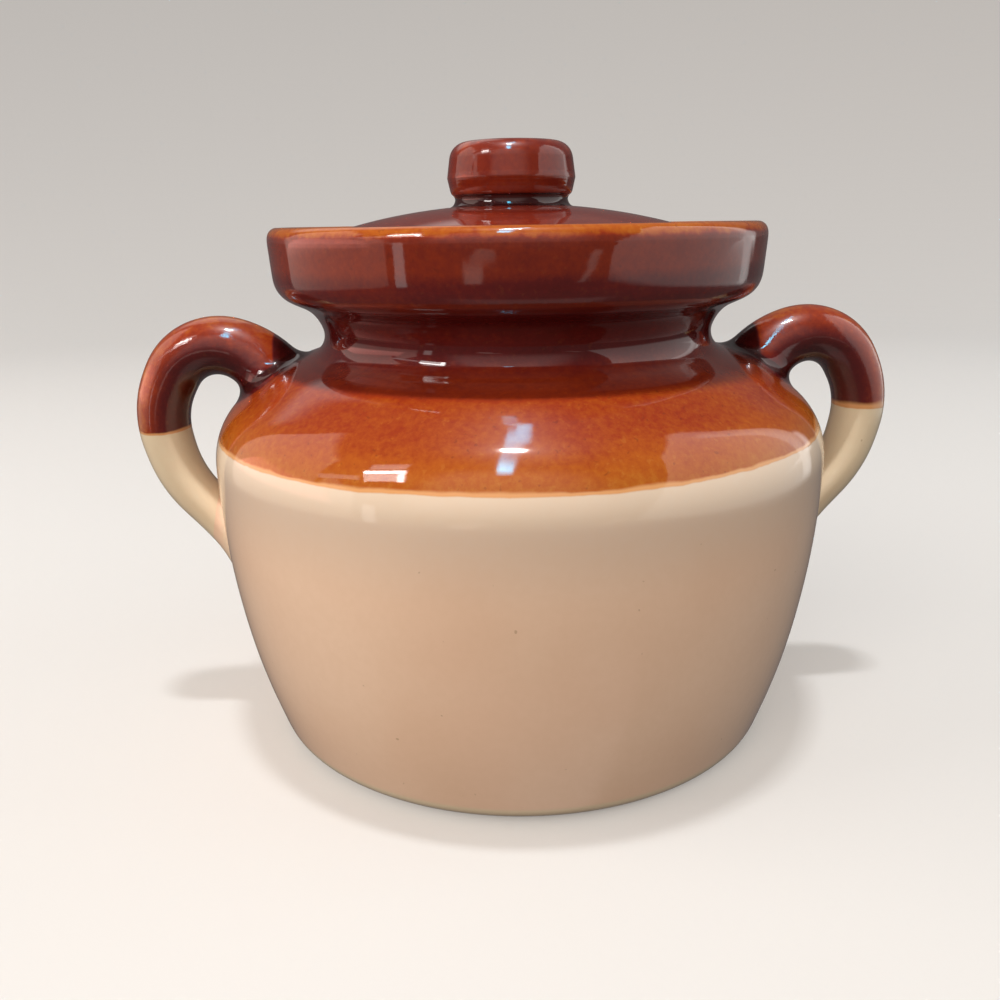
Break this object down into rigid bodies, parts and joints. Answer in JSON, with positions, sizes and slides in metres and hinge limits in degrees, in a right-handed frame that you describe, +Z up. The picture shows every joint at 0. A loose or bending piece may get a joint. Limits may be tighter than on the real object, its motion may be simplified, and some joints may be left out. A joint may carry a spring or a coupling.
{
  "type": "bean pot",
  "caption": "Round-bellied stoneware cooking pot with a collared neck, two ear handles luted to its sides and a loose domed lid with a button knob, which sits inside the collar.",
  "frame": {"origin": "centre of the flat foot, on the surface that the pot stands on", "axes": "+Z up through the pot, the neck and the knob; +X through the two handles; +Y is the side away from the viewer"},
  "size_m": [0.2346, 0.185, 0.1749],
  "materials": {
    "dipped_stoneware": "gloss clear glaze over cream clay, with a gloss red-brown glaze from mid-belly up and inside; foot ring and lid seat unglazed",
    "brown_glaze": "gloss red-brown glaze, dark where it pools and amber on edges; the underside's bearing ring unglazed"
  },
  "bodies": {
    "pot": {"pot": "dipped_stoneware", "left_handle": "dipped_stoneware", "right_handle": "dipped_stoneware"},
    "lid": {"lid": "brown_glaze", "knob": "brown_glaze"}
  },
  "joints": [
    {"name": "lid_lift", "type": "slide", "parent": "pot", "child": "lid", "axis": [0, 0, 1], "range_m": [0, 0.08]}
  ]
}
